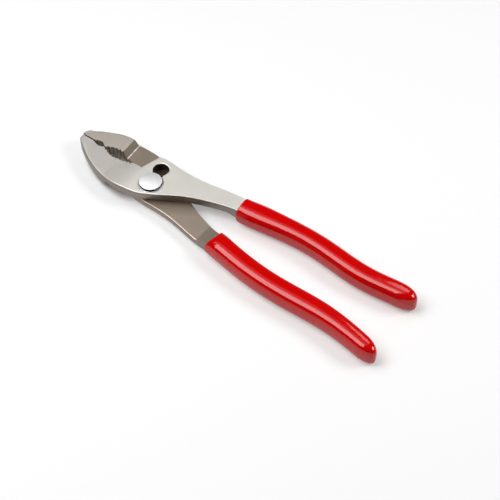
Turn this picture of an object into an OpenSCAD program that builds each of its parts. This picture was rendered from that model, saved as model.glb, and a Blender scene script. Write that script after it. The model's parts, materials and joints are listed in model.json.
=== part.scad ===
/* [Jaws] */
// Length of the jaws, from the pivot axis to the tip
jaw_len = 54; // [48:0.5:60]
// Height of the line where the jaws meet, above the pivot axis
jaw_line = 5.25; // [4.5:0.05:5.6]
// Gap left between the closed jaws at the tip
bite_gap = 0.5; // [0.3:0.05:0.8]
// Depth of the lower jaw below the jaw line
lower_jaw_depth = 17.2; // [16:0.05:18.5]
// Depth of the upper jaw above the jaw line
upper_jaw_depth = 15.35; // [14.5:0.05:16.5]
// Thickness of both jaws where the nose starts
nose_t = 6.7; // [6.2:0.1:7.6]
// Thickness of both jaws at the tip
tip_t = 6.2; // [5:0.1:6.6]
// Length of the flat gripping faces at the tip
flat_len = 8.7; // [7:0.1:10]
// Pitch of the fine teeth on the flat faces
fine_pitch = 1.45; // [1.1:0.05:1.8]
// Depth of the fine teeth
fine_depth = 0.45; // [0.2:0.05:0.6]
// Length of the small oval grip behind the flat faces
oval_len = 6.6; // [5.5:0.1:7.5]
// Depth of the small oval grip in the upper jaw
upper_oval_depth = 2.15; // [1.2:0.05:2.4]
// Depth of the small oval grip in the lower jaw
lower_oval_depth = 1.6; // [1.2:0.05:2.2]
// Length of the pinch between the oval grip and the pipe grip
pinch_len = 1.1; // [0.8:0.1:1.6]
// Depth of the pipe grip in the upper jaw
upper_pipe_depth = 3.9; // [3:0.1:4.4]
// Depth of the pipe grip in the lower jaw
lower_pipe_depth = 3.3; // [3:0.1:4.2]
// Pitch of the coarse teeth in the pipe grip
tooth_pitch = 2.25; // [1.9:0.05:2.6]
// Depth of the coarse teeth
tooth_depth = 0.95; // [0.6:0.05:1.2]

/* [Joint] */
// Thickness over both halves at the joint
joint_t = 9.6; // [9:0.1:10.5]
// Running gap between the two lapped faces
lap_gap = 0.1; // [0.06:0.01:0.2]
// Distance from the pivot to the upper jaw's shoulder, at the lap
upper_shoulder = 24; // [23:0.1:25]
// Distance from the pivot to the lower jaw's shoulder, at the lap
lower_shoulder = 22.2; // [22:0.1:23]
// Run of the sloping shoulders
shoulder_run = 3; // [2:0.1:3.4]
// Turn of the upper shoulder in plan
shoulder_skew = 7; // [0:0.5:10]
// Radius of the rounded end of the lap that turns under the slotted half
lap_r = 19.3; // [18:0.1:19.5]
// Distance between the two pivot positions
slip_pitch = 10.8; // [10:0.1:11.2]
// Lean of the slot towards the jaws
slip_lean = 10.9; // [8:0.1:14]
// Diameter of the two holes in the slotted half
hole_d = 8.7; // [8.4:0.05:9]
// Width of the neck between the two holes
neck_w = 6.1; // [5.6:0.05:6.6]

/* [Pivot] */
// Clearance all round the pivot bolt in its hole, and beside its flats
bolt_fit = 0.05; // [0.03:0.01:0.1]
// Diameter of the bolt head
head_d = 13.2; // [12:0.1:14]
// Height of the straight side of the bolt head
head_side_h = 1.1; // [0.9:0.05:1.6]
// Rise of the domed top of the bolt head
head_crown = 0.95; // [0.6:0.05:1.4]
// Gap under the bolt head and over the nut
end_float = 0.08; // [0.05:0.01:0.15]
// Diameter of the threaded end of the bolt
thread_d = 5; // [4:0.1:6]
// Diameter of the nut
nut_d = 12.6; // [11:0.1:13.2]
// How far the nut is let into the pin half
nut_recess = 1.6; // [1.2:0.1:2]
// Clearance round the nut in its recess
nut_fit = 0.2; // [0.15:0.05:0.3]
// Chamfer on the rim of the nut
nut_chamfer = 0.5; // [0.3:0.05:0.8]
// Diameter of the two spanner holes in the nut
spanner_d = 1.6; // [1.2:0.1:1.8]
// Depth of the spanner holes
spanner_depth = 1.2; // [0.8:0.1:1.5]

/* [Handles] */
// Length of the slotted half's handle, from the pivot axis to the grip's end
upper_len = 153.6; // [140:0.5:165]
// Length of the pin half's handle, from the pivot axis to the grip's end
lower_len = 156.6; // [140:0.5:168]
// Distance of the slotted half's grip from the jaw line
upper_spread = 18.5; // [17.5:0.1:20]
// Distance of the pin half's grip from the jaw line
lower_spread = 16.6; // [15.8:0.1:18]
// Distance from the pivot axis to where the lap starts to thicken into the handle
ramp_start = 41.5; // [40:0.1:43]
// Length over which the lap thickens
ramp_len = 12; // [10:0.1:14]
// Width of the steel tang inside a grip
tang_w = 7.8; // [7.2:0.1:8.4]
// Thickness of the steel tang inside a grip
tang_t = 8.2; // [7.6:0.1:8.6]
// Steel left off at the end of a grip, measured along the handle
tang_short = 7; // [6:0.1:9]

/* [Grips] */
// Thickness of a grip
grip_t = 12.6; // [12.2:0.1:13.6]
// Width of a grip at its widest, near the joint
grip_w = 13.4; // [12.8:0.1:14.2]
// Distance from the pivot axis to the front of the slotted half's grip
upper_grip_start = 47.2; // [46:0.1:50]
// Distance from the pivot axis to the front of the pin half's grip
lower_grip_start = 49.2; // [46:0.1:50]
// Rounding round the front of the slotted half's grip
upper_front_round = 0.8; // [0.5:0.1:1]
// Rounding round the front of the pin half's grip
lower_front_round = 0.8; // [0.5:0.1:1]
// Length of the rounded end of a grip
cap_len = 10.5; // [9:0.1:13]

/* [Hidden] */
$fn = 72;

// Heights: the part rests on the nut's flat end and on the undersides of both grips
mid_z = grip_t / 2;
joint_top = mid_z + joint_t / 2;
joint_foot = mid_z - joint_t / 2;
lap_top = mid_z + lap_gap / 2;
lap_foot = mid_z - lap_gap / 2;
nut_top = joint_foot + nut_recess - end_float;

// Overrun of every cut past the face that it starts from
overrun = jaw_len / 40;
// Sides of the big blocks that the cuts are made of
reach = jaw_len + lower_len;

// Steps between two points of a smooth curve, points round a grip, and the power of its section
curve_steps = 3;
ring_points = 24;
section_power = 2.8;
cap_power = 1.8;

// Slip direction: up from the pivot, leaning towards the jaws
slip = [-slip_pitch * sin(slip_lean), slip_pitch * cos(slip_lean)];

// Bolt sizes follow the slot
shank_d = hole_d - 4 * bolt_fit;
flats_w = neck_w - 2 * bolt_fit;
bore_d = shank_d + 2 * bolt_fit;

// Where the grips of the jaws begin, counted back from the tip
oval_start = flat_len;
pipe_start = flat_len + oval_len + pinch_len;
pipe_len = jaw_len - pipe_start - jaw_len * 0.32;
bite_share = 0.25;
// Along a pipe grip: where its swell starts, where it is full, and where each jaw's starts to close
swell_start_share = -0.09;
swell_full_share = 0.4;
upper_close_share = 0.59;
lower_close_share = 0.4;
// How much of its depth each pipe grip has lost next to the joint
upper_fade_share = 0.16;
lower_fade_share = 0.67;

// Outer edge of the lower jaw, tip to pivot, as shares of jaw_len and lower_jaw_depth
lower_jaw_shares = [
    [-1, 0.166], [-0.935, 0.328], [-0.852, 0.491], [-0.759, 0.648], [-0.667, 0.770],
    [-0.574, 0.872], [-0.463, 0.951], [-0.333, 0.997], [-0.204, 0.980], [-0.093, 0.922], [0, 0.828]
];
// Inner edge of the slotted half's handle, as shares of upper_len and upper_spread
upper_inner_shares = [
    [0.033, -0.603], [0.065, -0.430], [0.098, -0.240], [0.130, -0.068], [0.163, 0.062],
    [0.195, 0.176], [0.228, 0.278], [0.260, 0.370], [0.293, 0.440], [0.325, 0.496]
];
// Outer edge of the slotted half's handle, from the grip back to the notch, as the same shares
upper_outer_shares = [
    [0.325, 0.960], [0.293, 0.943], [0.260, 0.905], [0.228, 0.862], [0.195, 0.808], [0.163, 0.754],
    [0.130, 0.711], [0.098, 0.684], [0.065, 0.673], [0.033, 0.678], [0, 0.697], [-0.034, 0.697],
    [-0.0553, 0.651]
];
// Notch in front of the slotted half's eye, as the same shares
notch_shares = [[-0.0625, 0.420], [-0.069, 0.200], [-0.0736, 0.019], [-0.118, 0.019]];
// Outer edge of the upper jaw, from behind the pivot to the tip, as shares of jaw_len and upper_jaw_depth
upper_jaw_shares = [
    [0.444, 0.020], [0.333, 0.166], [0.204, 0.349], [0.056, 0.583], [-0.093, 0.844],
    [-0.222, 0.985], [-0.333, 1], [-0.463, 0.974], [-0.574, 0.941], [-0.667, 0.883],
    [-0.759, 0.755], [-0.852, 0.590], [-0.937, 0.400], [-0.974, 0.280], [-1, 0.140]
];
// Inner edge of the pin half's handle, grip to joint, as shares of lower_len and lower_spread
lower_inner_shares = [[0.335, -0.500], [0.300, -0.440], [0.262, -0.316], [0.223, -0.222], [0.190, -0.130]];
// Outer edge of the pin half's handle, joint to grip, as the same shares
lower_outer_shares = [
    [-0.115, -0.640], [-0.075, -0.750], [-0.021, -0.864], [0.032, -0.858], [0.064, -0.846], [0.096, -0.846],
    [0.128, -0.864], [0.160, -0.900], [0.192, -0.952], [0.223, -1.000], [0.255, -1.042],
    [0.294, -1.060], [0.335, -1.020]
];
// Middle lines of the two grips, as shares of each handle's length and spread
upper_sway_shares = [
    [0.310, 0.723], [0.365, 0.804], [0.430, 0.889], [0.500, 0.959], [0.570, 0.997], [0.640, 0.992],
    [0.710, 0.947], [0.780, 0.920], [0.850, 0.954], [0.915, 1.032], [0.960, 1.070], [1, 1.078]
];
lower_sway_shares = [
    [0.310, -0.742], [0.365, -0.824], [0.430, -0.914], [0.500, -0.978], [0.570, -1.000], [0.640, -0.976],
    [0.710, -0.934], [0.780, -0.910], [0.850, -0.949], [0.915, -1.028], [0.960, -1.105], [1, -1.185]
];
// Widths of the two grips at those places, as shares of grip_w
upper_width_shares = [0.927, 0.992, 0.959, 0.893, 0.883, 0.875, 0.881, 0.873, 0.858, 0.856, 0.827, 0.805];
lower_width_shares = [0.986, 0.943, 0.927, 0.925, 0.925, 0.925, 0.920, 0.880, 0.832, 0.789, 0.758, 0.742];

// Places a list of shares at its real size, counted from the jaw line
function placed(shares, along, across) = [for (s = shares) [s[0] * along, jaw_line + s[1] * across]];

// Point on a smooth curve through b and c, whose neighbours are a and d
function between(a, b, c, d, t) =
    b + t / 2 * (c - a) + t * t / 2 * (2 * a - 5 * b + 4 * c - d) + t * t * t / 2 * (3 * b - a - 3 * c + d);

// Smooth curve through a list of points or values
function smooth(p, steps = curve_steps) = let (last = len(p) - 1) [
    for (i = [0 : last - 1], k = [0 : steps - 1])
        between(p[max(i - 1, 0)], p[i], p[i + 1], p[min(i + 2, last)], k / steps),
    p[last]
];

// Middle line and widths of each grip at its real size
upper_sway = smooth(placed(upper_sway_shares, upper_len, upper_spread));
lower_sway = smooth(placed(lower_sway_shares, lower_len, lower_spread));
upper_widths = smooth([for (s = upper_width_shares) s * grip_w]);
lower_widths = smooth([for (s = lower_width_shares) s * grip_w]);

// Direction of a line of points at one of them
function heading(p, i) = let (d = p[min(i + 1, len(p) - 1)] - p[max(i - 1, 0)]) d / norm(d);

// The part of a middle line that the steel tang follows, and its two edges
function tang_line(sway, start, end) = [
    for (i = [0 : len(sway) - 1]) if (sway[i][0] > start && sway[i][0] < end) i
];
function tang_edge(sway, start, end, side) = [
    for (i = tang_line(sway, start, end))
        sway[i] + side * tang_w / 2 * [-heading(sway, i)[1], heading(sway, i)[0]]
];
function tang_tip(sway, end) = let (
    all = tang_line(sway, 0, end),
    i = all[len(all) - 1],
    h = heading(sway, i)
) [
    for (a = [60 : -30 : -60])
        sway[i] + tang_w / 2 * (h * cos(a) + [-h[1], h[0]] * sin(a))
];

// Share of its depth that a pipe grip has at a place along it
function pipe_swell(u, close, fade) =
    sin(90 * min(1, (u - swell_start_share) / (swell_full_share - swell_start_share)))
    * (1 - fade * max(0, u - close) / (1 - close));

// Row of coarse or fine teeth along one jaw: a list of x places and depths from the jaw line
function pipe_teeth(depth, close, fade) = let (count = floor(pipe_len / tooth_pitch)) [
    for (i = [0 : count - 1], k = [0, 0.5]) let (
        u = (i + k) / count,
        crest = k == 0 ? tooth_depth : 0
    ) [(i + k) * tooth_pitch, max(bite_gap / 2, depth * pipe_swell(u, close, fade) - crest)]
];
function oval_teeth(depth) = let (count = floor(oval_len / fine_pitch)) [
    for (i = [0 : count], k = [0, 0.5]) if (i + k <= count) let (
        u = (i + k) / count,
        crest = k == 0 && i > 0 && i < count ? fine_depth : 0
    ) [u * oval_len, bite_gap / 2 + (depth - bite_gap / 2) * sqrt(sin(180 * u)) - crest]
];
function flat_teeth() = let (count = floor(flat_len / fine_pitch)) [
    for (i = [0 : count - 1], k = [0, 0.5])
        [(i + k) * fine_pitch, bite_gap * bite_share + (k == 0 ? 0 : fine_depth)]
];
// The whole biting edge of one jaw, tip to joint; side is 1 above the jaw line and -1 below it
function bite_edge(side, oval_row, pipe_row) = [
    for (p = flat_teeth()) [p[0] - jaw_len, jaw_line + side * p[1]],
    for (p = oval_row) [p[0] + oval_start - jaw_len, jaw_line + side * p[1]],
    for (p = pipe_row) [p[0] + pipe_start - jaw_len, jaw_line + side * p[1]]
];
upper_bite = bite_edge(
    1, oval_teeth(upper_oval_depth), pipe_teeth(upper_pipe_depth, upper_close_share, upper_fade_share)
);
lower_bite = bite_edge(
    -1, oval_teeth(lower_oval_depth), pipe_teeth(lower_pipe_depth, lower_close_share, lower_fade_share)
);

function reversed(p) = [for (i = [len(p) - 1 : -1 : 0]) p[i]];

upper_tang_start = upper_len * 0.35;
lower_tang_start = lower_len * 0.36;
upper_tang_end = upper_len - tang_short - tang_w / 2;
lower_tang_end = lower_len - tang_short - tang_w / 2;

// Outline of the slotted half: lower jaw, eye and the handle above
slotted_outline = concat(
    smooth(concat(
        placed([for (s = lower_jaw_shares) [s[0], -s[1]]], jaw_len, lower_jaw_depth),
        placed(upper_inner_shares, upper_len, upper_spread),
        tang_edge(upper_sway, upper_tang_start, upper_tang_end, -1)
    ), 2),
    reversed(tang_tip(upper_sway, upper_tang_end)),
    smooth(concat(
        reversed(tang_edge(upper_sway, upper_tang_start, upper_tang_end, 1)),
        placed(upper_outer_shares, upper_len, upper_spread)
    ), 2),
    placed(notch_shares, upper_len, upper_spread),
    reversed(lower_bite)
);

// Outline of the pin half: upper jaw, lap plate and the handle below
lap_turn = [for (a = [164 : 7 : 192]) lap_r * [cos(a), sin(a)]];
pin_outline = concat(
    upper_bite,
    lap_turn,
    smooth(concat(
        placed(lower_outer_shares, lower_len, lower_spread),
        tang_edge(lower_sway, lower_tang_start, lower_tang_end, -1)
    ), 2),
    reversed(tang_tip(lower_sway, lower_tang_end)),
    smooth(concat(
        reversed(tang_edge(lower_sway, lower_tang_start, lower_tang_end, 1)),
        placed(lower_inner_shares, lower_len, lower_spread),
        placed(upper_jaw_shares, jaw_len, upper_jaw_depth)
    ), 2)
);

// Side view of a half, as if both laps were whole: nose, joint and tang
module side_profile() {
    nose_end = -upper_shoulder - shoulder_run;
    joint_start = -hole_d;
    tang_from = ramp_start + ramp_len * 0.4;
    tang_to = ramp_start + ramp_len * 0.7;
    top = [
        [-jaw_len - overrun, tip_t / 2],
        for (u = [0 : 1 / 8 : 1])
            [nose_end * (1 - u) + joint_start * u, (nose_t + (joint_t - nose_t) * (1 - cos(180 * u)) / 2) / 2],
        [tang_from, joint_t / 2],
        [tang_to, tang_t / 2],
        [lower_len, tang_t / 2]
    ];
    translate([0, mid_z])
        polygon(concat(top, reversed([for (p = top) [p[0], -p[1]]])));
}

// Block with a side view as its section, across the whole part
module across(turn = 0) {
    rotate([0, 0, turn])
        rotate([90, 0, 0])
            translate([0, 0, -reach / 2])
                linear_extrude(reach)
                    children();
}

// Space for the other half: from one shoulder, over the lap, to the ramp into the tang
module lap_space(shoulder, skew, lap_z, side) {
    deep = joint_t;
    intersection() {
        translate([-shoulder, jaw_line, 0])
            across(skew)
                polygon([
                    [0, lap_z], [reach, lap_z], [reach, lap_z + side * deep],
                    [-shoulder_run * deep / (nose_t / 2), lap_z + side * deep]
                ]);
        across()
            polygon([
                [-reach, lap_z - side * overrun], [ramp_start, lap_z - side * overrun], [ramp_start, lap_z],
                [ramp_start + ramp_len * deep / (tang_t / 2), lap_z + side * deep],
                [-reach, lap_z + side * deep]
            ]);
    }
}

module slotted_blank() {
    difference() {
        intersection() {
            linear_extrude(grip_t) polygon(slotted_outline);
            across() side_profile();
        }
        lap_space(lower_shoulder, 0, lap_top, -1);
    }
}

module pin_blank() {
    difference() {
        intersection() {
            linear_extrude(grip_t) polygon(pin_outline);
            across() side_profile();
        }
        lap_space(upper_shoulder, shoulder_skew, lap_foot, 1);
    }
}

// Two round holes joined by a narrower neck
module keyhole(height) {
    for (p = [[0, 0], slip])
        translate(p) cylinder(d = hole_d, h = height);
    rotate([0, 0, slip_lean])
        translate([-neck_w / 2, 0, 0])
            cube([neck_w, slip_pitch, height]);
}

module slotted_half() {
    color("lightgray")
        difference() {
            slotted_blank();
            translate([0, 0, mid_z - overrun]) keyhole(joint_t);
        }
}

module pin_half() {
    color("silver")
        difference() {
            pin_blank();
            cylinder(d = bore_d, h = joint_t);
            cylinder(d = nut_d + 2 * nut_fit, h = joint_foot + nut_recess);
        }
}

module pivot_bolt() {
    head_z = joint_top + end_float;
    dome_r = (head_d * head_d / 4 + head_crown * head_crown) / (2 * head_crown);
    dome_angle = asin(head_d / 2 / dome_r);
    color("gainsboro") {
        translate([0, 0, head_z])
            rotate_extrude()
                polygon(concat(
                    [[0, 0], [head_d / 2, 0]],
                    [for (k = [0 : 8]) let (a = dome_angle * (1 - k / 8))
                        [dome_r * sin(a), head_side_h + head_crown - dome_r * (1 - cos(a))]]
                ));
        // Double-D shank that slides through the neck
        translate([0, 0, lap_foot])
            intersection() {
                cylinder(d = shank_d, h = head_z - lap_foot);
                rotate([0, 0, slip_lean])
                    translate([-flats_w / 2, -shank_d / 2, 0])
                        cube([flats_w, shank_d, head_z - lap_foot]);
            }
        // Round journal in the pin half, and the threaded end
        translate([0, 0, nut_top]) cylinder(d = shank_d, h = lap_foot - nut_top);
        cylinder(d = thread_d, h = nut_top);
    }
}

module pivot_nut() {
    color("darkgray")
        difference() {
            rotate_extrude()
                polygon([
                    [thread_d / 2, 0], [nut_d / 2 - nut_chamfer, 0], [nut_d / 2, nut_chamfer],
                    [nut_d / 2, nut_top], [thread_d / 2, nut_top]
                ]);
            for (side = [-1, 1])
                translate([side * (nut_d + thread_d) / 4, 0, -overrun])
                    cylinder(d = spanner_d, h = spanner_depth + overrun);
        }
}

// One ring of a grip: a rounded rectangle of half width a and half height b
function ring(p, h, a, b) = [
    for (k = [0 : ring_points - 1]) let (
        t = 360 * k / ring_points,
        c = sign(cos(t)) * pow(abs(cos(t)), 2 / section_power) * a,
        s = sign(sin(t)) * pow(abs(sin(t)), 2 / section_power) * b
    ) [p[0] - h[1] * c, p[1] + h[0] * c, mid_z + s]
];

// How far the section has drawn in at a place in the rounded end, from 1 to 0
function cap_share(from_end) = from_end >= cap_len ? 1
    : pow(1 - pow(1 - from_end / cap_len, cap_power), 1 / cap_power);

// Closed sleeve outside: rings along the middle line, a rounded front and a rounded end
module grip_body(sway, widths, start, front_round, total) {
    first = [for (i = [0 : len(sway) - 1]) if (sway[i][0] > start + 2 * front_round) i][0];
    h0 = heading(sway, first);
    at = sway[first] - h0 * (sway[first][0] - start) / h0[0];
    w0 = widths[first] / 2;
    b0 = grip_t / 2;
    front = [
        for (a = [0, 30, 60]) ring(
            at + h0 * front_round * (1 - cos(a)), h0,
            w0 - front_round * (1 - sin(a)), b0 - front_round * (1 - sin(a))
        )
    ];
    last_places = [0.6, 0.3, 0.12, 0.03];
    body = [
        for (i = [first : len(sway) - 1]) if (total - sway[i][0] > 0.6 * cap_len)
            let (c = cap_share(total - sway[i][0])) ring(sway[i], heading(sway, i), c * widths[i] / 2, c * b0)
    ];
    end_i = len(sway) - 1;
    end_h = heading(sway, end_i);
    cap = [
        for (q = last_places) let (c = cap_share(q * cap_len)) ring(
            sway[end_i] - end_h * q * cap_len, end_h, c * widths[end_i] / 2, c * b0
        )
    ];
    rings = concat(front, body, cap);
    n = ring_points;
    m = len(rings);
    points = [for (r = rings, p = r) p, [sway[end_i][0], sway[end_i][1], mid_z], [at[0], at[1], mid_z]];
    sides = [
        for (j = [0 : m - 2], k = [0 : n - 1]) let (
            a = j * n + k,
            b = j * n + (k + 1) % n
        ) each [[a, b + n, b], [a, a + n, b + n]]
    ];
    ends = [
        for (k = [0 : n - 1]) each [
            [(m - 1) * n + (k + 1) % n, (m - 1) * n + k, m * n],
            [k, (k + 1) % n, m * n + 1]
        ]
    ];
    polyhedron(points, concat(sides, ends), convexity = 4);
}

module slotted_half_grip() {
    color("red")
        difference() {
            grip_body(upper_sway, upper_widths, upper_grip_start, upper_front_round, upper_len);
            slotted_blank();
        }
}

module pin_half_grip() {
    color("red")
        difference() {
            grip_body(lower_sway, lower_widths, lower_grip_start, lower_front_round, lower_len);
            pin_blank();
        }
}

slotted_half();
pin_half();
pivot_bolt();
pivot_nut();
slotted_half_grip();
pin_half_grip();
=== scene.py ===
import json
import math

import bpy
import numpy as np
from bpy.props import FloatProperty, FloatVectorProperty, PointerProperty, StringProperty
from bpy.types import Operator, Panel, PropertyGroup
from mathutils import Matrix, Vector


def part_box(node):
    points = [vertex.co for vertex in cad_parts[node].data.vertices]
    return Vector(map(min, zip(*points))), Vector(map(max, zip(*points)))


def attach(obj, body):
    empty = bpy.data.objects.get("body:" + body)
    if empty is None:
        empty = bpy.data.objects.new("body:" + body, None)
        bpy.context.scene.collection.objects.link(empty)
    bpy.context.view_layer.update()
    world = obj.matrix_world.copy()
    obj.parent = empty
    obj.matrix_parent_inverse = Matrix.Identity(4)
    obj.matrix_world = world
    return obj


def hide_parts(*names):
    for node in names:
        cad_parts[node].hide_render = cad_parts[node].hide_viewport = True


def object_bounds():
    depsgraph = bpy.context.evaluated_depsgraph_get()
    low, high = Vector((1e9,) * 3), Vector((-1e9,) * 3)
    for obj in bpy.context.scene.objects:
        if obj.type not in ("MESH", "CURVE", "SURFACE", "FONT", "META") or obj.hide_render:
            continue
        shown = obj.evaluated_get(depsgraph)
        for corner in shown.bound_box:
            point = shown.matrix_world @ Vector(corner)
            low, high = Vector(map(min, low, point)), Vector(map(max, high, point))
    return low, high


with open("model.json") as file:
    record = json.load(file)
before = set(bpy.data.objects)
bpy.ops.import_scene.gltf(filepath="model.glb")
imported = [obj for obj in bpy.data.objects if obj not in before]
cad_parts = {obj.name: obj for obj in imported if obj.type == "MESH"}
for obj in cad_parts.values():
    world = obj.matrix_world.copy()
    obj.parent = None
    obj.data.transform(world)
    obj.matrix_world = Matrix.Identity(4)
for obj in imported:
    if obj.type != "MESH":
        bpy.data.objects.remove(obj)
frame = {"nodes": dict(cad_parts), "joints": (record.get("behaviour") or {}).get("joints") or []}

bl_info = {
    "name": "Slip Joint Pliers",
    "version": (1, 0, 0),
    "blender": (4, 5, 0),
    "location": "View3D > Sidebar > Pliers",
    "description": "Finishes a pair of slip joint pliers with dipped grips, and sets up its studio",
    "category": "Object",
}

MM = 0.001
CAD_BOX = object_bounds()

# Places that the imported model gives
TIP = CAD_BOX[0].x
GRIP_LOW, GRIP_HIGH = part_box("slotted_half_grip")
MID_Z = (GRIP_LOW.z + GRIP_HIGH.z) / 2
SLIP = next(j for j in frame["joints"] if j["name"] == "slip")
UPPER_HOLE = Vector(SLIP["axis"]) * SLIP["range_m"][1]
JOINT_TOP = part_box("slotted_half")[1].z
HEAD_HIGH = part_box("pivot_bolt")[1]

# Line where the jaws meet, middle of the bite on it, reach of the teeth from it, and where they end
JAW_LINE = 5.25 * MM
BITE_MIDDLE = (-25 * MM, JAW_LINE, 0)
BITE_REACH = 5.6 * MM
BITE_BACK = -17 * MM

# Where the jaws' outer edges start to blunt, where each of the two ends, and the front of the lap
NOSE_START = -22 * MM
LOWER_JAW_BACK = 6 * MM
UPPER_JAW_BACK = -5 * MM
LAP_FRONT = -19 * MM

# Nearest that the slopes come to the pivot, reach of the slot's walls, and reach of the pin half's bore
SLOPES_FROM = 20 * MM
SLOT_REACH = 4.6 * MM
BORE_REACH = 8 * MM

# How far from the middle height an edge or a fillet still belongs to the lap, and how far the tip reaches
LAP_BAND = 0.2 * MM
FILLET_BAND = 0.6 * MM
TIP_BAND = 0.1 * MM

# How much a normal has to point up for a level face, a nearly level one, a fillet, a slope and a wall
LEVEL = 0.99
NEARLY_LEVEL = 0.97
FILLET_LOW = 0.7
SLOPING = 0.2
UPRIGHT = 0.1

# How much a wall has to face a side to count as its own, or the tip, and when an edge stands upright
FACING = 0.1
FACING_TIP = 0.95
STANDING = 0.8

# How near two points are one, how near they are in line, and how flat a seam is cleared
MERGED = 0.002 * MM
IN_LINE = 0.001 * MM
FLAT_SEAM = math.radians(0.2)

# A point of the wall over the lap at rest, and the way from it out over the lap
LAP_WALL = Vector((18, 1.8, 0)) * MM
LAP_OUT = Vector((0.553, -0.832, 0))

# Painted shade in the steel's colour: towards the jaws' tip, round the empty hole and near the wall over the
# lap, and where each starts and ends to fade
UNSHADED = (1, 1, 1, 1)
TIP_SHADE = (0.80, 0.79, 0.79, 1)
TIP_SHADE_ENDS = (-26 * MM, -6 * MM)
HOLE_SHADE = (0.30, 0.27, 0.24, 1)
HOLE_SHADE_ENDS = (3.2 * MM, 5.4 * MM)
WALL_SHADE = (0.50, 0.48, 0.46, 1)
WALL_SHADE_ENDS = (0, 9 * MM)

# Painted shade between the teeth: how near a crest shades a gullet, and the shares of open sky it fades over
GULLET_SHADE = (0.12, 0.11, 0.10, 1)
GULLET_REACH = 1.2 * MM
GULLET_ENDS = (0.50, 0.88)

# Height of the marks in steel, size of the clouds over them, their share, and how far the gloss varies
MARK_HEIGHT = 0.02 * MM
CLOUD_SIZE = 9 * MM
CLOUD_SHARE = 0.35
MOTTLE_ENDS = (0.35, 0.62)
STEEL_SPREAD = 0.12

# Size of the buffing marks on the bolt, and how far they vary its gloss
BUFFING_SIZE = 0.4 * MM
BUFFING_SPREAD = 0.1

# Height of the ripple in the dipped skin, and how far and where it deepens the red
RIPPLE_HEIGHT = 0.15 * MM
RIPPLE_SHADE = 0.94
RIPPLE_ENDS = (0.3, 0.7)


def hex_prop(name, description, colour):
    return StringProperty(name=name, description=description, default=colour)


def length_prop(name, description, millimetres):
    return FloatProperty(
        name=name, description=description, default=millimetres * MM, unit="LENGTH", precision=5
    )


class SteelFinish(PropertyGroup):
    ground: hex_prop("Ground face", "Colour of the ground faces of the slotted half", "#EBE7E1")
    pin_ground: hex_prop("Ground pin face", "Colour of the ground faces of the pin half", "#E4DCD1")
    forged: hex_prop("Forged wall", "Colour of the forged side walls", "#8F867F")
    milled: hex_prop("Milled lap", "Colour of the milled lap faces", "#BDAD9E")
    sloped: hex_prop("Shoulder", "Colour of the shoulders of the jaws", "#8E8478")
    # The ramp's colour, lighter than the shoulder's, is painted light on ramps that face the dark room
    ramp: hex_prop("Ramp", "Colour of the ramps into the tangs", "#A5998B")
    # The fillet's lighter colour is a painted highlight
    fillet_sheen: hex_prop("Fillet sheen", "Colour of the bright fillet at the foot of the shoulder", "#CFC6BA")
    toothed: hex_prop("Toothed wall", "Colour of the broached teeth", "#CDC2B6")
    # The slot walls' near-black colour is painted shade in the keyhole
    slot_shade: hex_prop("Shaded slot wall", "Colour of the oily walls of the slot", "#5C5148")
    nose_round: length_prop("Nose rounding", "Radius on the outer edges at the tip", 1.7)
    jaw_round: length_prop("Jaw rounding", "Radius on the lower jaw's outer edges behind the nose", 0.7)
    upper_jaw_round: length_prop("Upper jaw rounding", "Radius on the upper jaw's outer edges", 0.98)
    belly_round: length_prop("Belly rounding", "Radius on the lower outer rim of the pin half", 2.0)
    crisp_round: length_prop("Crisp rounding", "Radius on ground and milled edges", 0.28)
    foot_round: length_prop("Foot fillet", "Fillet where the shoulder meets the lap", 0.3)
    rim_round: length_prop("Rim rounding", "Radius on the upper outer rim of the pin half", 0.8)
    shading_pitch: length_prop("Shading pitch", "Length of the strips that the long faces are cut into", 2.1)
    grain: length_prop("Grain pitch", "Spacing of the grinding marks, coarse enough to show", 0.22)


class BoltShape(PropertyGroup):
    colour: hex_prop("Polished steel", "Colour of the bolt and the nut", "#F4F5F4")
    rim_round: length_prop("Rim rounding", "Radius round the rim of the bolt head", 0.45)
    foot_round: length_prop("Foot rounding", "Radius round the foot of the bolt head", 0.1)
    nut_round: length_prop("Nut rounding", "Radius on the edges of the nut", 0.12)
    crown: length_prop("Crown", "Rise of the domed head", 0.65)
    float_gap: length_prop("Float", "Gap under the head", 0.08)


class GripShape(PropertyGroup):
    colour: hex_prop("Vinyl", "Colour of the dipped vinyl", "#CE0000")
    end_length: length_prop("Rounded end", "Length of the rounded end of a grip", 10.5)
    front_round: length_prop("Front lip", "Radius of the lip at the front of a grip", 0.5)
    upper_front: length_prop("Upper front", "How far the upper grip starts behind its solid's front", 0.7)
    lower_front: length_prop("Lower front", "How far the lower grip starts behind its solid's front", 0.5)
    upper_sweep: length_prop("Upper front sweep", "How far the top of the upper grip's front sits back", 0.3)
    lower_sweep: length_prop("Lower front sweep", "How far the top of the lower grip's front sits back", 1.4)
    upper_tuck: length_prop("Upper front tuck", "How far the foot of the upper grip's front sits back", 3.8)
    lower_tuck: length_prop("Lower front tuck", "How far the foot of the lower grip's front sits back", 1.2)
    upper_dip: length_prop("Upper front dip", "How far the top of the upper grip sinks at its front", 0.0)
    lower_dip: length_prop("Lower front dip", "How far the top of the lower grip sinks at its front", 1.1)
    skin: length_prop("Skin", "How far the drawn skin stays inside the solid sleeve", 0.12)
    orange_peel: length_prop("Skin ripple", "Size of the soft ripple in the dipped skin", 6.0)


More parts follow.
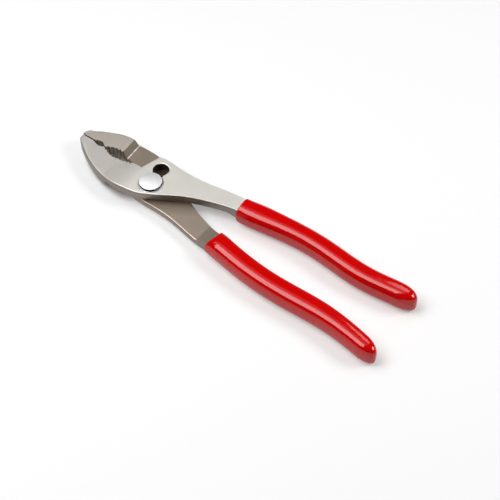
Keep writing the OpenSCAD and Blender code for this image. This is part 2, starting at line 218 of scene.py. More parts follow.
class StudioSetup(PropertyGroup):
    camera_place: FloatVectorProperty(
        name="Camera", description="Where the camera stands", subtype="XYZ", unit="LENGTH",
        default=(0.348808, -0.349741, 0.561167),
    )
    camera_target: FloatVectorProperty(
        name="Target", description="What the camera looks at", subtype="XYZ", unit="LENGTH",
        default=(0.06406, 0.00441, 0),
    )
    camera_lens: FloatProperty(name="Lens", description="Focal length", default=100, unit="CAMERA")
    floor_size: length_prop("Floor", "Width of the studio floor", 6000)
    floor_colour: hex_prop("Floor colour", "Colour of the studio floor", "#D2D2D2")
    wall_colour: hex_prop("Wall colour", "Colour of the low wall round the floor", "#D8D8D8")
    room_colour: hex_prop("Room colour", "Colour of the unlit room above the wall", "#3A3A3A")


def linear(colour):
    """Turns an sRGB hex colour into linear red, green, blue and alpha."""
    parts = [int(colour[i:i + 2], 16) / 255 for i in (1, 3, 5)]
    return [c / 12.92 if c <= 0.04045 else ((c + 0.055) / 1.055) ** 2.4 for c in parts] + [1]


def scaled(colour, share):
    """Darkens a linear colour to a share of itself."""
    return [c * share for c in colour[:3]] + [1]


def add_node(tree, kind, inputs=None, **settings):
    """Adds a node with its settings, and sets or links its inputs by name or number."""
    node = tree.nodes.new(kind)
    for name, value in settings.items():
        setattr(node, name, value)
    for name, value in (inputs or {}).items():
        if isinstance(value, bpy.types.NodeSocket):
            tree.links.new(value, node.inputs[name])
        else:
            node.inputs[name].default_value = value
    return node


def new_material(name):
    """Starts a node material and returns it with its tree and its object coordinates."""
    material = bpy.data.materials.new(name)
    material.use_nodes = True
    tree = material.node_tree
    tree.nodes.clear()
    place = add_node(tree, "ShaderNodeTexCoord").outputs["Object"]
    return material, tree, place


def finish_material(tree, shader):
    """Links the last shader to the material's output."""
    add_node(tree, "ShaderNodeOutputMaterial", {"Surface": shader.outputs[0]})


def shade_between(tree, value, dark, light, low, high):
    """Colour that runs from dark to light as a value runs from low to high."""
    ramp = add_node(tree, "ShaderNodeValToRGB", {"Fac": value})
    ramp.color_ramp.elements[0].position = low
    ramp.color_ramp.elements[1].position = high
    ramp.color_ramp.elements[0].color = dark
    ramp.color_ramp.elements[1].color = light
    return ramp.outputs["Color"]


def toned(tree, colour, value, tone, ends):
    """Multiplies a colour by a tone that fades out as a value runs between two ends."""
    share = add_node(tree, "ShaderNodeMapRange", {"Value": value, "From Min": ends[0], "From Max": ends[1]})
    film = shade_between(tree, share.outputs[0], tone, UNSHADED, 0, 1)
    mixed = add_node(
        tree, "ShaderNodeMix", {0: 1.0, 6: colour, 7: film}, data_type="RGBA", blend_type="MULTIPLY"
    )
    return mixed.outputs[2]


def shaded_towards_tip(tree, place, colour):
    """Jaws a shade darker than the plate towards the tip: painted shade."""
    along = add_node(tree, "ShaderNodeSeparateXYZ", {0: place}).outputs["X"]
    return toned(tree, colour, along, TIP_SHADE, TIP_SHADE_ENDS)


def painted_lap_shade(tree, place, colour):
    """Painted shade round the empty hole, and painted shade near the wall where the other half slides over
    the lap.
    """
    hole = UPPER_HOLE + Vector((0, 0, MID_Z))
    away = add_node(tree, "ShaderNodeVectorMath", {0: place, 1: hole}, operation="DISTANCE")
    colour = toned(tree, colour, away.outputs["Value"], HOLE_SHADE, HOLE_SHADE_ENDS)
    from_wall = add_node(tree, "ShaderNodeVectorMath", {0: place, 1: LAP_WALL}, operation="SUBTRACT")
    out = add_node(
        tree, "ShaderNodeVectorMath", {0: from_wall.outputs[0], 1: LAP_OUT}, operation="DOT_PRODUCT"
    )
    along = add_node(tree, "ShaderNodeSeparateXYZ", {0: place}).outputs["X"]
    ahead = add_node(tree, "ShaderNodeMath", {0: along, 1: -1.0}, operation="MULTIPLY")
    off_wall = add_node(
        tree, "ShaderNodeMath", {0: out.outputs["Value"], 1: ahead.outputs[0]}, operation="MAXIMUM"
    )
    return toned(tree, colour, off_wall.outputs[0], WALL_SHADE, WALL_SHADE_ENDS)


def shaded_gullets(tree, place, colour):
    """Darker between the crests, by how closed in a point is: painted shade."""
    open_share = add_node(tree, "ShaderNodeAmbientOcclusion", {"Distance": GULLET_REACH}).outputs["AO"]
    return toned(tree, colour, open_share, GULLET_SHADE, GULLET_ENDS)


def steel_material(name, colour, roughness, grain, stretch, depth, mottle, shade_paint=None):
    """Bare tool steel: fine marks along the piece, a slow mottle in colour and gloss, and any painted shade
    passed in.
    """
    material, tree, place = new_material(name)
    base = linear(colour)
    along = add_node(tree, "ShaderNodeMapping", {"Vector": place, "Scale": (stretch, 1, 1)})
    marks = add_node(
        tree, "ShaderNodeTexNoise", {"Vector": along.outputs[0], "Scale": 1 / grain, "Detail": 3.0}
    )
    clouds = add_node(tree, "ShaderNodeTexNoise", {"Vector": place, "Scale": 1 / CLOUD_SIZE, "Detail": 4.0})
    tone = add_node(
        tree, "ShaderNodeMix", {0: CLOUD_SHARE, 2: marks.outputs["Fac"], 3: clouds.outputs["Fac"]}
    )
    gloss = add_node(
        tree, "ShaderNodeMapRange",
        {
            "Value": tone.outputs[0],
            "To Min": roughness * (1 - STEEL_SPREAD),
            "To Max": roughness * (1 + STEEL_SPREAD),
        },
    )
    bump = add_node(
        tree, "ShaderNodeBump",
        {"Height": marks.outputs["Fac"], "Strength": depth, "Distance": MARK_HEIGHT},
    )
    skin = shade_between(tree, tone.outputs[0], scaled(base, 1 - mottle), base, *MOTTLE_ENDS)
    if shade_paint:
        skin = shade_paint(tree, place, skin)
    shader = add_node(
        tree, "ShaderNodeBsdfPrincipled",
        {
            "Base Color": skin,
            "Metallic": 1.0,
            "Roughness": gloss.outputs[0],
            "Normal": bump.outputs[0],
        },
    )
    finish_material(tree, shader)
    return material


def ground_steel(finish, colour):
    # Belt-ground tool steel: a satin, slightly warm light grey, its marks drawn coarser than real ones, and
    # painted shade towards the jaws' tip
    return steel_material(
        "ground_tool_steel", colour, roughness=0.56, grain=finish.grain, stretch=0.12,
        depth=0.5, mottle=0.07, shade_paint=shaded_towards_tip,
    )


def forged_steel(finish):
    # Forged and tumbled steel: a darker brown grey that spreads reflections wide
    return steel_material(
        "forged_tool_steel", finish.forged, roughness=0.42, grain=0.5 * MM, stretch=0.6,
        depth=0.6, mottle=0.12,
    )


def milled_steel(finish):
    # Milled lap face: flat, brownish, with fine marks and painted shade round the empty hole and near the
    # wall over it
    return steel_material(
        "milled_tool_steel", finish.milled, roughness=0.42, grain=0.3 * MM, stretch=0.2,
        depth=0.5, mottle=0.08, shade_paint=painted_lap_shade,
    )


def sloped_steel(finish, colour):
    # Machined slopes: as milled, but duller, so that they take light from all round
    return steel_material(
        "sloped_tool_steel", colour, roughness=0.68, grain=0.4 * MM, stretch=0.5,
        depth=0.6, mottle=0.15,
    )


def fillet_sheen_steel(finish):
    # Fillet at the foot of the shoulder: its lighter colour a painted highlight, and smooth enough to catch
    # a lamp as a thin line
    return steel_material(
        "fillet_sheen_tool_steel", finish.fillet_sheen, roughness=0.40, grain=0.3 * MM, stretch=1,
        depth=0.3, mottle=0.05,
    )


def toothed_steel(finish):
    # Broached teeth: dull, with bright crests over gullets in painted shade
    return steel_material(
        "broached_tool_steel", finish.toothed, roughness=0.6, grain=0.3 * MM, stretch=0.6,
        depth=0.5, mottle=0.25, shade_paint=shaded_gullets,
    )


def slot_shade_steel(finish):
    # Walls of the slot: near black with painted shade, and dull
    return steel_material(
        "slot_shade_tool_steel", finish.slot_shade, roughness=0.6, grain=0.5 * MM, stretch=1,
        depth=0.5, mottle=0.3,
    )


def polished_steel(name, shape, roughness):
    """Nickel-bright steel with fine buffing marks."""
    material, tree, place = new_material(name)
    buffing = add_node(
        tree, "ShaderNodeTexNoise", {"Vector": place, "Scale": 1 / BUFFING_SIZE, "Detail": 2.0}
    )
    gloss = add_node(
        tree, "ShaderNodeMapRange",
        {
            "Value": buffing.outputs["Fac"],
            "To Min": roughness * (1 - BUFFING_SPREAD),
            "To Max": roughness * (1 + BUFFING_SPREAD),
        },
    )
    shader = add_node(
        tree, "ShaderNodeBsdfPrincipled",
        {"Base Color": linear(shape.colour), "Metallic": 1.0, "Roughness": gloss.outputs[0]},
    )
    finish_material(tree, shader)
    return material


def red_vinyl(shape):
    # Dipped vinyl: a deep gloss over saturated red, with a slow ripple left by the dip
    material, tree, place = new_material("dipped_red_vinyl")
    ripple = add_node(
        tree, "ShaderNodeTexNoise", {"Vector": place, "Scale": 1 / shape.orange_peel, "Detail": 1.0}
    )
    bump = add_node(
        tree, "ShaderNodeBump",
        {"Height": ripple.outputs["Fac"], "Strength": 0.25, "Distance": RIPPLE_HEIGHT},
    )
    base = linear(shape.colour)
    shader = add_node(
        tree, "ShaderNodeBsdfPrincipled",
        {
            "Base Color": shade_between(
                tree, ripple.outputs["Fac"], scaled(base, RIPPLE_SHADE), base, *RIPPLE_ENDS
            ),
            "Roughness": 0.07,
            "IOR": 1.5,
            "Normal": bump.outputs[0],
        },
    )
    finish_material(tree, shader)
    return material


def only(*pieces):
    """Selects these objects alone and makes the first one active."""
    bpy.ops.object.select_all(action="DESELECT")
    for piece in pieces:
        piece.select_set(True)
    bpy.context.view_layer.objects.active = pieces[0]


def merged_copy(node, name):
    """Copies a CAD node's mesh to a new piece, merges its loose triangles and clears flat seams."""
    piece = bpy.data.objects.new(name, frame["nodes"][node].data.copy())
    bpy.context.scene.collection.objects.link(piece)
    piece.data.materials.clear()
    only(piece)
    bpy.ops.mesh.customdata_custom_splitnormals_clear()
    bpy.ops.object.mode_set(mode="EDIT")
    bpy.ops.mesh.select_all(action="SELECT")
    bpy.ops.mesh.remove_doubles(threshold=MERGED)
    bpy.ops.mesh.dissolve_limited(angle_limit=FLAT_SEAM)
    bpy.ops.object.mode_set(mode="OBJECT")
    return piece


def round_edges(piece, radius_at, widest, segments=4, sharp=math.radians(24)):
    """Rounds each sharp edge by the radius that radius_at gives for its middle, direction and walls."""
    mesh = piece.data
    sides = {}
    for face in mesh.polygons:
        for key in face.edge_keys:
            sides.setdefault(key, []).append(face.normal.copy())
    weights = [0.0] * len(mesh.edges)
    for edge in mesh.edges:
        normals = sides.get(edge.key, [])
        if len(normals) != 2 or normals[0].angle(normals[1]) < sharp:
            continue
        a, b = (mesh.vertices[v].co for v in edge.vertices)
        weights[edge.index] = radius_at((a + b) / 2, (b - a).normalized(), *normals) / widest
    attribute = mesh.attributes.new("bevel_weight_edge", "FLOAT", "EDGE")
    attribute.data.foreach_set("value", weights)
    bevel = piece.modifiers.new("rounding", "BEVEL")
    bevel.limit_method = "WEIGHT"
    bevel.width = widest
    bevel.segments = segments
    bevel.use_clamp_overlap = False
    bevel.loop_slide = False
    only(piece)
    bpy.ops.object.modifier_apply(modifier=bevel.name)


def slice_along(piece, pitch):
    """Cuts the long faces across into strips, away from their creases, so that they shade smoothly."""
    only(piece)
    places = [v.co for v in piece.data.vertices]
    low, high = (end(p.x for p in places) for end in (min, max))
    edges = [[places[v] for v in edge.vertices] for edge in piece.data.edges]
    creases = {a.x for a, b in edges if abs(a.x - b.x) < IN_LINE and abs(a.y - b.y) > pitch}
    bpy.ops.object.mode_set(mode="EDIT")
    for cut in np.arange(low + pitch, high, pitch):
        if min(abs(cut - crease) for crease in creases) > pitch / 4:
            bpy.ops.mesh.select_all(action="SELECT")
            bpy.ops.mesh.bisect(plane_co=(cut, 0, 0), plane_no=(1, 0, 0))
    bpy.ops.object.mode_set(mode="OBJECT")


def smooth_faces(piece, angle=30):
    """Shades the piece smooth up to an angle, with large faces kept flat."""
    only(piece)
    bpy.ops.object.shade_smooth_by_angle(angle=math.radians(angle))
    weighted = piece.modifiers.new("flat_faces", "WEIGHTED_NORMAL")
    weighted.keep_sharp = True
    bpy.ops.object.modifier_apply(modifier=weighted.name)


def assign_finishes(piece, materials, finish_at):
    """Gives each face the material that finish_at picks for its middle and normal."""
    for material in materials:
        piece.data.materials.append(material)
    for face in piece.data.polygons:
        face.material_index = finish_at(face.center, face.normal)


def in_bite(place):
    """Whether a place lies among the teeth."""
    return place.x < BITE_BACK and abs(place.y - JAW_LINE) < BITE_REACH


def in_slot(place):
    """Whether a place lies on the walls of the keyhole slot."""
    nearest = min(max(place.xy.dot(UPPER_HOLE.xy) / UPPER_HOLE.xy.length_squared, 0), 1)
    return (place.xy - UPPER_HOLE.xy * nearest).length < SLOT_REACH


def in_fillet(centre, normal):
    """Whether a face belongs to the fillet at the foot of the shoulder."""
    near_lap = abs(centre.z - MID_Z) < FILLET_BAND
    return near_lap and centre.x < BITE_BACK and normal.x > FACING and FILLET_LOW < normal.z < LEVEL


# The order of a half's materials, and of the numbers that half_finish and make_half give to its faces
GROUND, FORGED, MILLED, SHOULDER, RAMP, TOOTHED, SLOT_SHADE, FILLET_SHEEN = range(8)


def half_finish(centre, normal):
    """Ground outer faces, milled lap faces and slopes, broached teeth, slot walls in painted shade and
    forged walls.
    """
    height = abs(normal.z)
    if height > LEVEL and abs(centre.z - MID_Z) < LAP_BAND:
        return MILLED
    if height > NEARLY_LEVEL:
        return GROUND
    if height > SLOPING and abs(centre.x) > SLOPES_FROM:
        return SHOULDER if centre.x < 0 else RAMP
    if height < UPRIGHT and in_bite(centre):
        return TOOTHED
    if height < UPRIGHT and in_slot(centre):
        return SLOT_SHADE
    return FORGED


def wall_of(one, other):
    """The more upright of two faces, by its normal."""
    return one if abs(one.z) < abs(other.z) else other


def at_tip(place, wall):
    """Whether an edge lies on the blunt end of the jaws."""
    return wall.x < -FACING_TIP and place.x < TIP + TIP_BAND


def outer_round(x, start_round, end_round):
    """Radius that grows softly from the start of the nose to the tip."""
    share = min(1, max(0, (NOSE_START - x) / (NOSE_START - TIP)))
    return start_round + (end_round - start_round) * share * share * (3 - 2 * share)


def slotted_radius(finish):
    """Rounding rule of the slotted half."""

    def radius(middle, direction, one, other):
        wall = wall_of(one, other)
        if abs(direction.z) > STANDING:
            return 0
        if abs(middle.z - MID_Z) < LAP_BAND:
            return finish.crisp_round / 2
        if wall.y < -FACING and middle.x < LOWER_JAW_BACK or at_tip(middle, wall):
            return outer_round(middle.x, finish.jaw_round, finish.nose_round)
        if in_bite(middle):
            return 0
        return finish.crisp_round

    return radius


def pin_radius(finish):
    """Rounding rule of the pin half. Along an outline a radius changes only at a corner."""

    def radius(middle, direction, one, other):
        wall = wall_of(one, other)
        near_lap = abs(middle.z - MID_Z) < LAP_BAND
        if abs(direction.z) > STANDING:
            return 0
        if middle.xy.length < BORE_REACH:
            return finish.crisp_round / 2
        if near_lap and min(one.z, other.z) > SLOPING and middle.x < 0:
            return finish.foot_round
        if in_bite(middle):
            return 0
        if wall.y < -FACING and middle.x > LAP_FRONT:
            under = finish.belly_round if middle.x > BITE_BACK else finish.belly_round / 2
            return finish.rim_round if middle.z > MID_Z - LAP_BAND else under
        if near_lap:
            return finish.crisp_round
        outer_jaw = wall.y > FACING and middle.x < UPPER_JAW_BACK and middle.y > JAW_LINE
        if outer_jaw or at_tip(middle, wall):
            return outer_round(middle.x, finish.upper_jaw_round, finish.nose_round)
        return finish.crisp_round

    return radius


class HalfMaker:
    """What the two steel halves share."""

    def make_half(self, finish, node, body, radius_rule, ground, slot):
        piece = merged_copy(node, node + "_finished")
        materials = [
            ground_steel(finish, ground), forged_steel(finish), milled_steel(finish),
            sloped_steel(finish, finish.sloped), sloped_steel(finish, finish.ramp),
            toothed_steel(finish), slot_shade_steel(finish), fillet_sheen_steel(finish),
        ]
        assign_finishes(piece, materials, half_finish)
        round_edges(piece, radius_rule(finish), max(finish.nose_round, finish.belly_round))
        # The fillet takes the lighter steel, a painted highlight
        for face in piece.data.polygons:
            if in_fillet(face.center, face.normal):
                face.material_index = FILLET_SHEEN
        slice_along(piece, finish.shading_pitch)
        smooth_faces(piece)
        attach(piece, body)
        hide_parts(node)
        return {"FINISHED"}


class PLIERS_OT_slotted_half(HalfMaker, Operator):
    """Finishes the half that carries the slot: lower jaw, eye and upper handle"""

    bl_idname = "pliers.slotted_half"
    bl_label = "Slotted half"

    def execute(self, context):
        finish = context.scene.pliers_steel
        return self.make_half(
            finish, "slotted_half", "slotted_side", slotted_radius, finish.ground, "ground_steel"
        )


class PLIERS_OT_pin_half(HalfMaker, Operator):
    """Finishes the half that carries the bolt: upper jaw, lap plate and lower handle"""

    bl_idname = "pliers.pin_half"
    bl_label = "Pin half"

    def execute(self, context):
        finish = context.scene.pliers_steel
        return self.make_half(finish, "pin_half", "pin_side", pin_radius, finish.pin_ground, "forged_steel")


class PLIERS_OT_pivot(Operator):
    """Finishes the pivot bolt, with its polished domed head, and the nut under it"""

    bl_idname = "pliers.pivot"
    bl_label = "Pivot bolt and nut"

    # How much a face has to point up to be satin, the fineness of the ball, and the shank above the joint
    crown_normal = 0.8
    ball_segments = 96
    ball_rings = 120
    shank_cut = 0.02 * MM

    def execute(self, context):
        shape = context.scene.pliers_bolt
        # Turned crown: satin, so that it glows evenly; the sides under it are a clean mirror
        satin = polished_steel("brushed_steel", shape, roughness=0.58)
        mirror = polished_steel("mirror_steel", shape, roughness=0.24)
        head = self.make_head(shape)
        bolt = self.make_shank()
        only(bolt, head)
        bpy.ops.object.join()
        nut = merged_copy("pivot_nut", "pivot_nut_polished")
        round_edges(nut, lambda *edge: shape.nut_round, shape.nut_round, segments=3)
        for piece, node in ((bolt, "pivot_bolt"), (nut, "pivot_nut")):
            assign_finishes(piece, (mirror, satin), self.finish)
            smooth_faces(piece, angle=40)
            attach(piece, "pivot")
            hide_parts(node)
        return {"FINISHED"}

    def finish(self, centre, normal):
        """Satin, the second material, for what faces up, and the mirror for the rest."""
        return int(normal.z > self.crown_normal)

    def make_head(self, shape):
        """Cuts the domed cap from a large ball, draws its straight side down and rounds the rim."""
        width = HEAD_HIGH.x
        ball = (width * width + shape.crown * shape.crown) / (2 * shape.crown)
        foot = JOINT_TOP + shape.float_gap
        rim = HEAD_HIGH.z - shape.crown
        bpy.ops.object.select_all(action="DESELECT")
        bpy.ops.mesh.primitive_uv_sphere_add(
            segments=self.ball_segments, ring_count=self.ball_rings, radius=ball,
            location=(0, 0, HEAD_HIGH.z - ball),
        )
        head = bpy.context.object
        bpy.ops.object.transform_apply(location=True, rotation=True, scale=True)
        bpy.ops.object.mode_set(mode="EDIT")
        bpy.ops.mesh.select_all(action="SELECT")
        bpy.ops.mesh.bisect(plane_co=(0, 0, rim), plane_no=(0, 0, 1), clear_inner=True, use_fill=True)
        bpy.ops.mesh.extrude_region_move(TRANSFORM_OT_translate={"value": (0, 0, foot - rim)})
        bpy.ops.object.mode_set(mode="OBJECT")
        half_way = (foot + rim) / 2
        round_edges(
            head, lambda middle, *walls: shape.rim_round if middle.z > half_way else shape.foot_round,
            shape.rim_round, segments=5,
        )
        return head

    def make_shank(self):
        """Keeps the CAD bolt under its head: flats, journal and threaded end."""
        shank = merged_copy("pivot_bolt", "pivot_bolt_polished")
        bpy.ops.object.mode_set(mode="EDIT")
        bpy.ops.mesh.select_all(action="SELECT")
        bpy.ops.mesh.bisect(
            plane_co=(0, 0, JOINT_TOP + self.shank_cut), plane_no=(0, 0, 1), clear_outer=True, use_fill=True
        )
        bpy.ops.object.mode_set(mode="OBJECT")
        return shank


def ring_edges(node, start, end, degree=9):
    """Smooth curves along the two edges of a sleeve, from the CAD rings' points at mid height."""
    low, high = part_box(node)
    split = (low.y + high.y) / 2
    places = [v.co for v in frame["nodes"][node].data.vertices]
    rim = np.array([p[:2] for p in places if abs(p.z - MID_Z) < MERGED and start < p.x < end])
    sides = rim[rim[:, 1] > split], rim[rim[:, 1] < split]
    return [np.polynomial.Polynomial.fit(*side.T, degree) for side in sides]


class PLIERS_OT_grips(Operator):
    """Draws the two dipped vinyl grips along the handles"""

    bl_idname = "pliers.grips"
    bl_label = "Dipped grips"

    section_points = 72
    section_power = 2.7
    lip_stations = 6
    body_stations = 84
    end_stations = 22
    plan_power = 2.0
    top_power = 3.2
    foot_power = 5.5
    front_power = 2.3
    last_share = 0.985
    sweep_fade = 12 * MM
    dip_fade = 7 * MM
    ring_margin = 4 * MM
    step = 1 * MM

    def execute(self, context):
        shape = context.scene.pliers_grips
        vinyl = red_vinyl(shape)
        upper = shape.upper_front, shape.upper_sweep, shape.upper_tuck, shape.upper_dip
        lower = shape.lower_front, shape.lower_sweep, shape.lower_tuck, shape.lower_dip
        self.make_grip(shape, vinyl, "slotted_half_grip", "slotted_side", *upper)
        self.make_grip(shape, vinyl, "pin_half_grip", "pin_side", *lower)
        return {"FINISHED"}

    def stations(self, shape, node, front_gap):
        """Place, heading, half width, half height and draw of each section from front to end."""
        low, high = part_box(node)
        cap_start = high.x - shape.skin - shape.end_length
        upper, lower = ring_edges(node, low.x + self.ring_margin, cap_start + self.step)
        half_height = (high.z - low.z) / 2 - shape.skin
        front = low.x + front_gap
        lip = shape.front_round
        found = []
        for angle in np.linspace(0, math.pi / 2, self.lip_stations):
            found.append((front + lip * (1 - math.cos(angle)), lip * (1 - math.sin(angle)), 0))
        for x in np.linspace(front + lip, cap_start, self.body_stations)[1:]:
            found.append((x, 0, 0))
        for share in np.sin(np.linspace(0, math.pi / 2 * self.last_share, self.end_stations))[1:]:
            found.append((cap_start + share * shape.end_length, 0, share))
        rings = []
        for x, inset, drawn in found:
            reach = min(x, cap_start)
            middle, ahead = ((upper(at) + lower(at)) / 2 for at in (reach, reach + self.step))
            slope = (ahead - middle) / self.step
            heading = Vector((1, slope, 0)).normalized()
            half_width = (upper(reach) - lower(reach)) / 2 * heading.x - shape.skin - inset
            place = Vector((x, middle + slope * (x - reach), MID_Z))
            rings.append((place, heading, half_width, half_height - inset, drawn))
        return rings

    def draw_in(self, share, power):
        """How much of its full size a section keeps at a share of the rounded end."""
        return (1 - share ** power) ** (1 / power)

    def shape_ring(self, vertices, ring, sweep, tuck, dip):
        """Lays the points of the open end on a rounded section."""
        place, heading, half_width, half_height, drawn = ring
        across = Vector((-heading.y, heading.x, 0)) * half_width * self.draw_in(drawn, self.plan_power)
        above = half_height * self.draw_in(drawn, self.top_power) - dip
        below = half_height * self.draw_in(drawn, self.foot_power)
        for number, vertex in enumerate(vertices):
            angle = math.tau * number / len(vertices)
            c = math.copysign(abs(math.cos(angle)) ** (2 / self.section_power), math.cos(angle))
            s = math.copysign(abs(math.sin(angle)) ** (2 / self.section_power), math.sin(angle))
            height = Vector((0, 0, s * (above if s > 0 else below)))
            back = (sweep if s > 0 else tuck) * abs(s) ** self.front_power
            vertex.co = place + across * c + height + heading * back

    def make_grip(self, shape, vinyl, node, body, front_gap, sweep, tuck, dip):
        """Extrudes a ring of points from section to section, closes its end and skins it in vinyl."""
        rings = self.stations(shape, node, front_gap)
        bpy.ops.object.select_all(action="DESELECT")
        bpy.ops.mesh.primitive_circle_add(
            vertices=self.section_points, radius=rings[0][3], fill_type="NGON"
        )
        piece = bpy.context.object
        piece.name = node + "_vinyl"
        mesh = piece.data
        count = self.section_points
        for number, ring in enumerate(rings):
            if number:
                only(piece)
                bpy.ops.object.mode_set(mode="EDIT")
                bpy.ops.mesh.extrude_region_move(
                    TRANSFORM_OT_translate={"value": ring[0] - rings[number - 1][0]}
                )
                bpy.ops.object.mode_set(mode="OBJECT")
            behind = ring[0].x - rings[0][0].x
            fade = max(0, 1 - behind / self.sweep_fade)
            sunk = max(0, 1 - behind / self.dip_fade) ** 2
            open_end = mesh.vertices[number * count:(number + 1) * count]
            self.shape_ring(open_end, ring, sweep * fade, tuck * fade, dip * sunk)
        bpy.ops.object.mode_set(mode="EDIT")
        bpy.ops.mesh.poke()
        bpy.ops.mesh.select_all(action="SELECT")
        bpy.ops.mesh.normals_make_consistent(inside=False)
        bpy.ops.object.mode_set(mode="OBJECT")
        mesh.materials.append(vinyl)
        smooth_faces(piece, angle=50)
        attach(piece, body)
        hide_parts(node)


# Softboxes: name, place, target, width, height, and brightness where 1 is lit white paper
LAMPS = (
    ("key_softbox", (-0.232, -0.258, 0.727), (0.08, 0, 0), 0.52, 0.64, 5.5),
    ("top_softbox", (-0.275, 0.115, 0.817), (0.08, 0, 0), 0.80, 0.18, 1.3),
    ("far_softbox", (-0.275, 0.282, 0.775), (0.08, 0, 0), 0.80, 0.18, 0.5),
    ("handle_panel", (-0.015, 0.57, 0.72), (0.04, 0, 0), 0.26, 0.26, 3.0),
    ("back_softbox", (0.62, 0.45, 0.60), (0.06, 0, 0), 0.42, 0.32, 9.0),
)


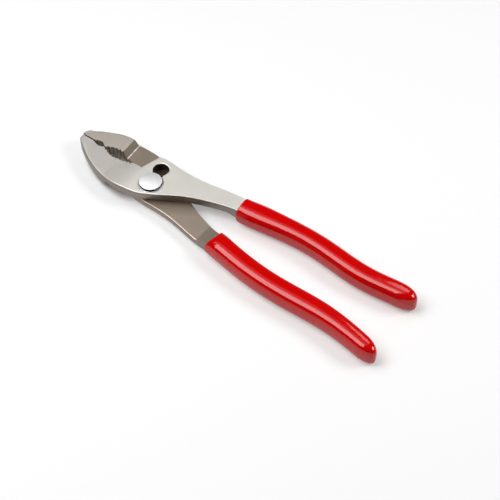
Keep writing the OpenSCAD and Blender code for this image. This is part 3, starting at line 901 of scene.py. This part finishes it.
class PLIERS_OT_studio(Operator):
    """Sets the floor, the lamps, the room and the camera"""

    bl_idname = "pliers.studio"
    bl_label = "Studio"

    # How far the paper is lifted towards white for the lens
    paper_lift = 0.3
    # How near the steel has to be to close the paper in, and the shares of open sky it fades over
    closed_reach = 14 * MM
    closed_ends = (0.35, 0.6)
    # How far from the middle of the bite the paper is open again, whatever is near
    clear_ends = (16 * MM, 24 * MM)
    # Sine of the low wall's height, and how softly the wall ends
    wall_top = 0.1
    wall_edge = 0.04

    def execute(self, context):
        studio = context.scene.pliers_studio
        self.make_floor(studio)
        for lamp in LAMPS:
            self.add_lamp(context, *lamp)
        self.make_room(context, studio)
        self.make_camera(context, studio)
        context.scene.view_settings.view_transform = "Standard"
        return {"FINISHED"}

    def make_floor(self, studio):
        bpy.ops.object.select_all(action="DESELECT")
        bpy.ops.mesh.primitive_plane_add(size=studio.floor_size, location=(0, 0, 0))
        floor = bpy.context.object
        floor.name = "studio_floor"
        # Matt white paper: plain to light from the object, and lifted to white where the lens sees it
        material, tree, place = new_material("white_paper")
        path = add_node(tree, "ShaderNodeLightPath")
        seen = path.outputs["Is Camera Ray"]
        for ray in ("Is Glossy Ray", "Is Transmission Ray"):
            either = add_node(tree, "ShaderNodeMath", {0: seen, 1: path.outputs[ray]}, operation="MAXIMUM")
            seen = either.outputs[0]
        lit = add_node(
            tree, "ShaderNodeMath", {0: self.open_paper(tree, place), 1: self.paper_lift},
            operation="MULTIPLY",
        )
        lift = add_node(tree, "ShaderNodeMath", {0: seen, 1: lit.outputs[0]}, operation="MULTIPLY")
        paper = add_node(tree, "ShaderNodeBsdfDiffuse", {"Color": linear(studio.floor_colour)})
        glow = add_node(tree, "ShaderNodeEmission", {"Color": (1, 1, 1, 1), "Strength": lift.outputs[0]})
        both = add_node(tree, "ShaderNodeAddShader", {0: paper.outputs[0], 1: glow.outputs[0]})
        finish_material(tree, both)
        floor.data.materials.append(material)

    def open_paper(self, tree, place):
        """Runs to 0 where the jaws close the paper in, a painted shade on the paper under them, so that no
        pale paper shows through the bite.
        """
        low, high = self.closed_ends
        near, far = self.clear_ends
        share = add_node(tree, "ShaderNodeAmbientOcclusion", {"Distance": self.closed_reach}).outputs["AO"]
        sky = add_node(tree, "ShaderNodeMapRange", {"Value": share, "From Min": low, "From Max": high})
        away = add_node(tree, "ShaderNodeVectorMath", {0: place, 1: BITE_MIDDLE}, operation="DISTANCE")
        clear = add_node(
            tree, "ShaderNodeMapRange", {"Value": away.outputs["Value"], "From Min": near, "From Max": far}
        )
        either = add_node(
            tree, "ShaderNodeMath", {0: sky.outputs[0], 1: clear.outputs[0]}, operation="MAXIMUM"
        )
        return either.outputs[0]

    def add_lamp(self, context, name, place, target, width, height, brightness):
        """Adds a softbox whose face is as many times brighter than white paper as brightness says."""
        data = bpy.data.lights.new(name, "AREA")
        data.shape = "RECTANGLE"
        data.size = width
        data.size_y = height
        data.energy = brightness * math.pi * width * height
        lamp = bpy.data.objects.new(name, data)
        context.scene.collection.objects.link(lamp)
        back = (Vector(place) - Vector(target)).normalized()
        up = back.cross(Vector((1, 0, 0))).normalized()
        turn = Matrix((up.cross(back), up, back)).transposed()
        lamp.matrix_world = Matrix.Translation(place) @ turn.to_4x4()

    def make_room(self, context, studio):
        world = bpy.data.worlds.new("studio_room")
        world.use_nodes = True
        tree = world.node_tree
        tree.nodes.clear()
        # Pale low wall round the table, and an unlit room above it that keeps the gloss deep
        toward = add_node(tree, "ShaderNodeTexCoord").outputs["Generated"]
        height = add_node(tree, "ShaderNodeSeparateXYZ", {0: toward}).outputs["Z"]
        wall, room = linear(studio.wall_colour), linear(studio.room_colour)
        colour = shade_between(tree, height, wall, room, self.wall_top - self.wall_edge, self.wall_top)
        back = add_node(tree, "ShaderNodeBackground", {"Color": colour})
        add_node(tree, "ShaderNodeOutputWorld", {"Surface": back.outputs[0]})
        context.scene.world = world

    def make_camera(self, context, studio):
        data = bpy.data.cameras.new("studio_camera")
        data.lens = studio.camera_lens
        data.sensor_width = 36
        data.clip_start = 0.01
        data.clip_end = 50
        camera = bpy.data.objects.new("studio_camera", data)
        context.scene.collection.objects.link(camera)
        place, target = Vector(studio.camera_place), Vector(studio.camera_target)
        camera.location = place
        camera.rotation_euler = (target - place).to_track_quat("-Z", "Y").to_euler()
        context.scene.camera = camera


STEPS = (PLIERS_OT_slotted_half, PLIERS_OT_pin_half, PLIERS_OT_pivot, PLIERS_OT_grips, PLIERS_OT_studio)
GROUPS = {
    "pliers_steel": SteelFinish,
    "pliers_bolt": BoltShape,
    "pliers_grips": GripShape,
    "pliers_studio": StudioSetup,
}


class PLIERS_PT_panel(Panel):
    """Lists the steps that finish the pliers"""

    bl_idname = "PLIERS_PT_panel"
    bl_label = "Slip joint pliers"
    bl_space_type = "VIEW_3D"
    bl_region_type = "UI"
    bl_category = "Pliers"

    def draw(self, context):
        for step in STEPS:
            self.layout.operator(step.bl_idname)


CLASSES = (*GROUPS.values(), *STEPS, PLIERS_PT_panel)


def register():
    for kind in CLASSES:
        bpy.utils.register_class(kind)
    for name, group in GROUPS.items():
        setattr(bpy.types.Scene, name, PointerProperty(type=group))


def unregister():
    for name in GROUPS:
        delattr(bpy.types.Scene, name)
    for kind in reversed(CLASSES):
        bpy.utils.unregister_class(kind)


def main():
    register()
    bpy.ops.pliers.slotted_half()
    bpy.ops.pliers.pin_half()
    bpy.ops.pliers.pivot()
    bpy.ops.pliers.grips()
    bpy.ops.pliers.studio()


if __name__ == "__main__":
    main()
